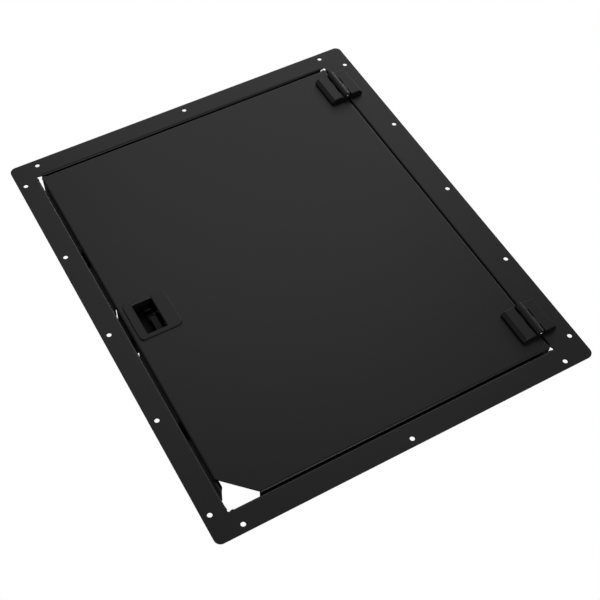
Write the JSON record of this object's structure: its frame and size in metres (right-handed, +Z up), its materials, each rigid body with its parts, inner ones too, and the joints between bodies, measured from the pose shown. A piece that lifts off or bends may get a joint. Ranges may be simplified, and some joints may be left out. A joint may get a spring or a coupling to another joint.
{
  "type": "deck hatch",
  "caption": "Flush deck access hatch: folded sheet frame with a screw rim, hinged tray door with one clipped corner, recessed sliding finger latch.",
  "frame": {"origin": "centre of the rim's underside, which lies on the deck, at the middle of the pattern of rim screws", "axes": "+Z up out of the deck; +X from the latch side to the hinge side; +Y along the long sides, from the end with the clipped corner to the rear"},
  "size_m": [0.425, 0.508, 0.0417],
  "materials": {
    "sheet_powder_coat": "satin black powder coat",
    "hinge_black": "satin black, cast alloy",
    "latch_plastic": "fine-grained black",
    "steel": "plain stainless",
    "spring_steel": "drawn wire",
    "bumper_rubber": "matt"
  },
  "bodies": {
    "frame": {"frame": "sheet_powder_coat", "hinge_rear_frame_leaf": "hinge_black", "hinge_front_frame_leaf": "hinge_black", "hinge_rear_pin": "steel", "hinge_front_pin": "steel", "hinge_rear_frame_screws": "steel", "hinge_front_frame_screws": "steel", "stop_bumper_latch_rear": "bumper_rubber", "stop_bumper_latch_front": "bumper_rubber", "stop_bumper_rear": "bumper_rubber", "stop_bumper_front": "bumper_rubber"},
    "door": {"door": "sheet_powder_coat", "hinge_rear_door_leaf": "hinge_black", "hinge_front_door_leaf": "hinge_black", "hinge_rear_door_screws": "steel", "hinge_front_door_screws": "steel", "latch_bezel": "latch_plastic", "latch_case": "latch_plastic", "latch_screws": "steel", "latch_spring_front": "spring_steel", "latch_spring_rear": "spring_steel"},
    "latch_bolt": {"latch_bolt": "latch_plastic"}
  },
  "joints": [
    {"name": "door_hinge", "type": "hinge", "parent": "frame", "child": "door", "pos_m": [0.1773, 0, 0.0065], "axis": [0, 1, 0], "range_deg": [0, 135]},
    {"name": "latch_slide", "type": "slide", "parent": "door", "child": "latch_bolt", "axis": [1, 0, 0], "range_m": [0, 0.007], "stiffness_N_per_m": 600, "springref_m": -0.006, "deforming": ["latch_spring_front", "latch_spring_rear"]}
  ]
}
